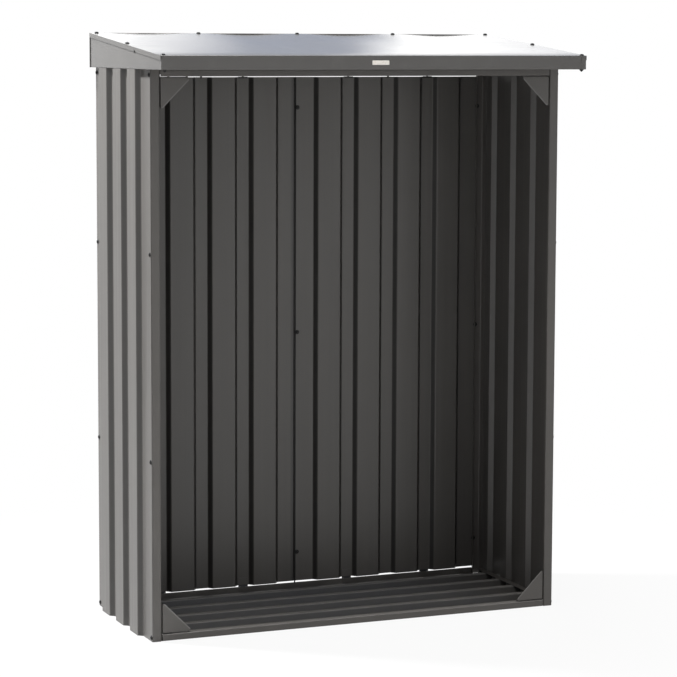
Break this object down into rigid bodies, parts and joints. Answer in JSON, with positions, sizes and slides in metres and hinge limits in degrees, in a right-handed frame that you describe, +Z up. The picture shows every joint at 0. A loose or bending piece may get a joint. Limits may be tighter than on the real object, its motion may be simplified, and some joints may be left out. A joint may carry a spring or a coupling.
{
  "type": "log store",
  "caption": "Open-fronted lean-to log store of ribbed painted steel sheet on a folded frame, with a ribbed floor, corner gussets and a roof that falls to the front.",
  "frame": {"origin": "on the ground, under the middle of the roof's outline", "axes": "+Z up, +X to the right across the open front, +Y from the open front to the back wall"},
  "size_m": [1.3874, 0.698, 1.8278],
  "materials": {
    "frame_paint": "satin",
    "wall_paint": "satin",
    "roof_paint": "satin",
    "fixings": "satin"
  },
  "bodies": {
    "root": {"front_left_post": "frame_paint", "front_right_post": "frame_paint", "rear_left_post": "frame_paint", "rear_right_post": "frame_paint", "front_bottom_rail": "frame_paint", "rear_bottom_rail": "frame_paint", "left_bottom_rail": "frame_paint", "right_bottom_rail": "frame_paint", "front_top_rail": "frame_paint", "rear_top_rail": "frame_paint", "left_top_rail": "frame_paint", "right_top_rail": "frame_paint", "left_side_wall": "wall_paint", "right_side_wall": "wall_paint", "left_back_panel": "wall_paint", "right_back_panel": "wall_paint", "upper_panel_brackets": "frame_paint", "lower_panel_brackets": "frame_paint", "floor_sheet": "wall_paint", "top_left_gusset": "frame_paint", "top_right_gusset": "frame_paint", "bottom_left_gusset": "frame_paint", "bottom_right_gusset": "frame_paint", "roof_sheet": "roof_paint", "left_roof_skirt": "roof_paint", "right_roof_skirt": "roof_paint", "rear_roof_plate": "roof_paint"}
  },
  "joints": []
}
